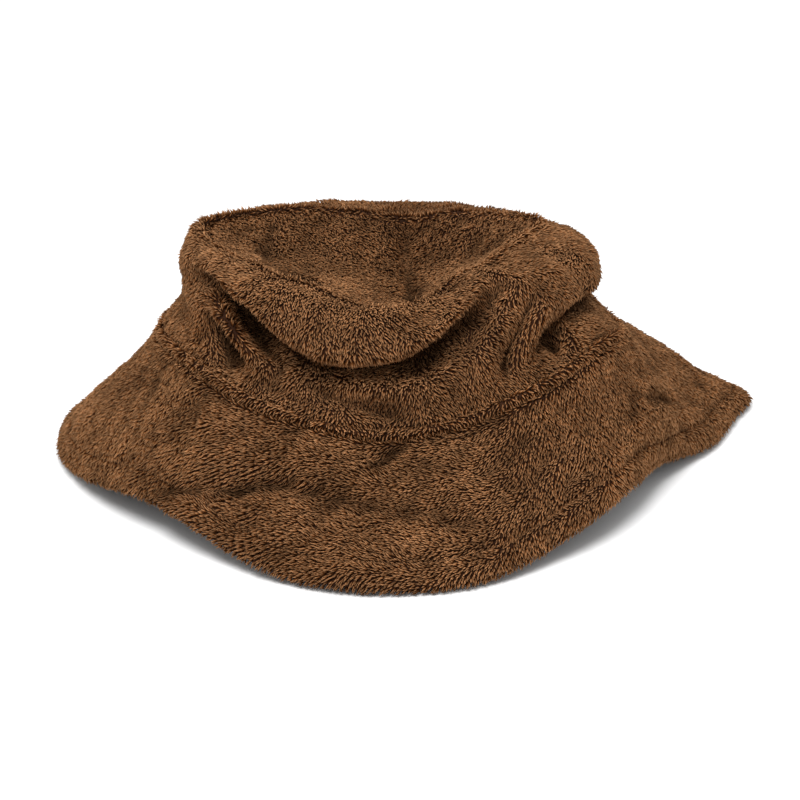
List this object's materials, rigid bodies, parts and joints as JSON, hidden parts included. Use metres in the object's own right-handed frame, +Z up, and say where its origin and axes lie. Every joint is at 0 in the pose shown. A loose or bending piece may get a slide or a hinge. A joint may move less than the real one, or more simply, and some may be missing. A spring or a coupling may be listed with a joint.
{
  "type": "bucket hat",
  "caption": "Soft lined bucket hat in brown pile fabric with a dished tip, a slumped side band and a wide sloping brim.",
  "frame": {"origin": "middle of the hat's box, on the surface that the brim stands on", "axes": "+Z up out of the crown, -Y towards the front of the hat, +X towards its pointed right corner, which is the longest way across"},
  "size_m": [0.2906, 0.2768, 0.0968],
  "materials": {
    "pile_cloth": "curly terry pile, matt",
    "under_pile_cloth": "pressed terry pile, matt",
    "interlining": "non-woven stiffening",
    "lining_cotton": "plain-weave cotton",
    "sweatband_twill": "cotton twill tape",
    "label_satin": "woven satin, blank",
    "thread": "spun polyester sewing thread"
  },
  "bodies": {
    "root": {"tip_outer": "pile_cloth", "crown_front_outer": "pile_cloth", "crown_back_outer": "pile_cloth", "brim_front_upper": "pile_cloth", "brim_back_upper": "pile_cloth", "brim_front_under": "under_pile_cloth", "brim_back_under": "under_pile_cloth", "brim_interlining": "interlining", "tip_lining": "lining_cotton", "crown_front_lining": "lining_cotton", "crown_back_lining": "lining_cotton", "sweatband": "sweatband_twill", "size_label": "label_satin", "tip_topstitch": "thread", "base_topstitch": "thread", "hem_topstitch": "thread", "sweatband_stitch": "thread"}
  },
  "joints": []
}
